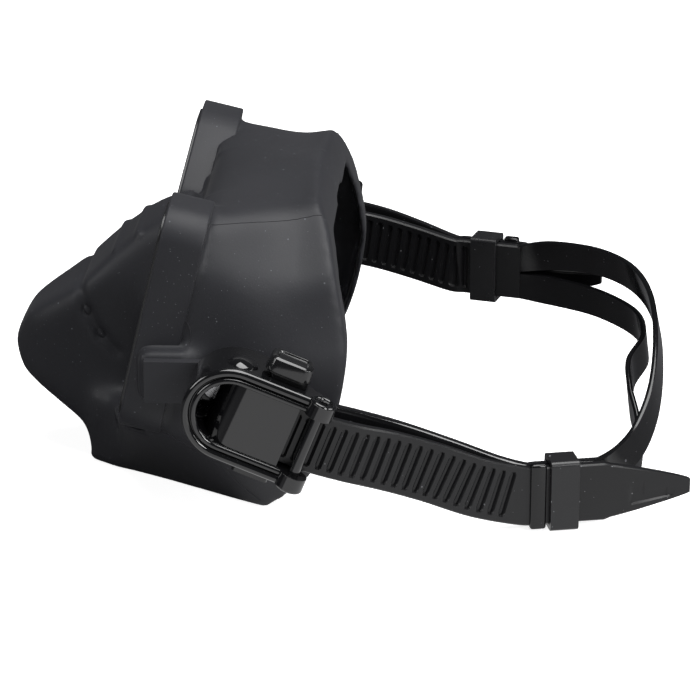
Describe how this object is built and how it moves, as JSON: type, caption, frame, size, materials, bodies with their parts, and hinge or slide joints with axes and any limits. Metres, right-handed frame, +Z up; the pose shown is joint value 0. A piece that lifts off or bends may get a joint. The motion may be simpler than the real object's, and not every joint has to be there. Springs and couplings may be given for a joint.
{
  "type": "diving mask",
  "caption": "Low-volume diving mask with a black silicone skirt, framed flat lenses, swivel push-button buckles and a split silicone head strap.",
  "frame": {"origin": "on the surface the mask stands on, in its mirror plane, below the middle of its length", "axes": "+Z up, -Y the way the wearer looks, +X the wearer's left"},
  "size_m": [0.1806, 0.1966, 0.0899],
  "materials": {
    "skirt_silicone": "matte moulded black silicone",
    "strap_silicone": "glossy moulded black silicone",
    "frame_plastic": "black plastic, satin",
    "lens_glass": "clear tempered glass",
    "anchor_plastic": "black plastic, satin",
    "steel": "stainless steel",
    "spring_steel": "stainless spring wire",
    "buckle_plastic": "glossy black plastic",
    "button_plastic": "satin-gloss black plastic",
    "keeper_rubber": "satin black rubber"
  },
  "bodies": {
    "mask": {"skirt": "skirt_silicone", "lens_frame_left": "frame_plastic", "lens_left": "lens_glass", "lens_retainer_left": "frame_plastic", "buckle_anchor_left": "anchor_plastic", "pivot_pin_left": "steel", "lens_frame_right": "frame_plastic", "lens_right": "lens_glass", "lens_retainer_right": "frame_plastic", "buckle_anchor_right": "anchor_plastic", "pivot_pin_right": "steel"},
    "strap": {"head_strap": "strap_silicone", "buckle_body_left": "buckle_plastic", "buckle_cover_left": "buckle_plastic", "roller_pin_left": "steel", "buckle_body_right": "buckle_plastic", "buckle_cover_right": "buckle_plastic", "roller_pin_right": "steel", "button_spring_upper_left": "spring_steel", "button_spring_lower_left": "spring_steel", "button_spring_upper_right": "spring_steel", "button_spring_lower_right": "spring_steel"},
    "roller_left": {"strap_roller_left": "buckle_plastic"},
    "upper_button_left": {"release_button_upper_left": "button_plastic"},
    "lower_button_left": {"release_button_lower_left": "button_plastic"},
    "latch_left": {"latch_bar_left": "buckle_plastic"},
    "keeper_left": {"strap_keeper_left": "keeper_rubber"},
    "roller_right": {"strap_roller_right": "buckle_plastic"},
    "upper_button_right": {"release_button_upper_right": "button_plastic"},
    "lower_button_right": {"release_button_lower_right": "button_plastic"},
    "latch_right": {"latch_bar_right": "buckle_plastic"},
    "keeper_right": {"strap_keeper_right": "keeper_rubber"}
  },
  "joints": [
    {"name": "strap_swing", "type": "hinge", "parent": "mask", "child": "strap", "pos_m": [0, -0.033, 0.0444], "axis": [1, 0, 0], "range_deg": [-12, 35]},
    {"name": "roller_spin_left", "type": "hinge", "parent": "strap", "child": "roller_left", "pos_m": [0.0777, -0.02465, 0.04103], "axis": [0, 0.3746, 0.9272], "continuous": true},
    {"name": "upper_button_left_press", "type": "slide", "parent": "strap", "child": "upper_button_left", "axis": [0, -0.3746, -0.9272], "range_m": [0, 0.0014], "stiffness_N_per_m": 400, "springref_m": -0.001, "deforming": ["button_spring_upper_left"]},
    {"name": "lower_button_left_press", "type": "slide", "parent": "strap", "child": "lower_button_left", "axis": [0, 0.3746, 0.9272], "range_m": [0, 0.0014], "stiffness_N_per_m": 400, "springref_m": -0.001, "deforming": ["button_spring_lower_left"]},
    {"name": "latch_lift_left", "type": "hinge", "parent": "strap", "child": "latch_left", "pos_m": [0.0864, -0.00741, 0.03406], "axis": [0, -0.3746, -0.9272], "range_deg": [0, 24]},
    {"name": "keeper_slide_left", "type": "slide", "parent": "strap", "child": "keeper_left", "axis": [-0.225, 0.9744, 0], "range_m": [-0.0005, 0.006]},
    {"name": "roller_spin_right", "type": "hinge", "parent": "strap", "child": "roller_right", "pos_m": [-0.0777, -0.02404, 0.04357], "axis": [0, 0.0924, 0.9957], "continuous": true},
    {"name": "upper_button_right_press", "type": "slide", "parent": "strap", "child": "upper_button_right", "axis": [0, -0.0924, -0.9957], "range_m": [0, 0.0014], "stiffness_N_per_m": 400, "springref_m": -0.001, "deforming": ["button_spring_upper_right"]},
    {"name": "lower_button_right_press", "type": "slide", "parent": "strap", "child": "lower_button_right", "axis": [0, 0.0924, 0.9957], "range_m": [0, 0.0014], "stiffness_N_per_m": 400, "springref_m": -0.001, "deforming": ["button_spring_lower_right"]},
    {"name": "latch_lift_right", "type": "hinge", "parent": "strap", "child": "latch_right", "pos_m": [-0.0864, -0.00552, 0.04185], "axis": [0, 0.0924, 0.9957], "range_deg": [0, 24]},
    {"name": "keeper_slide_right", "type": "slide", "parent": "strap", "child": "keeper_right", "axis": [0.2756, 0.9613, 0], "range_m": [-0.006, 0.0005]}
  ],
  "couplings": [
    {"joint": "latch_lift_left", "follows": "upper_button_left_press", "rad_per_m": 274.27},
    {"joint": "latch_lift_right", "follows": "upper_button_right_press", "rad_per_m": 274.27}
  ]
}
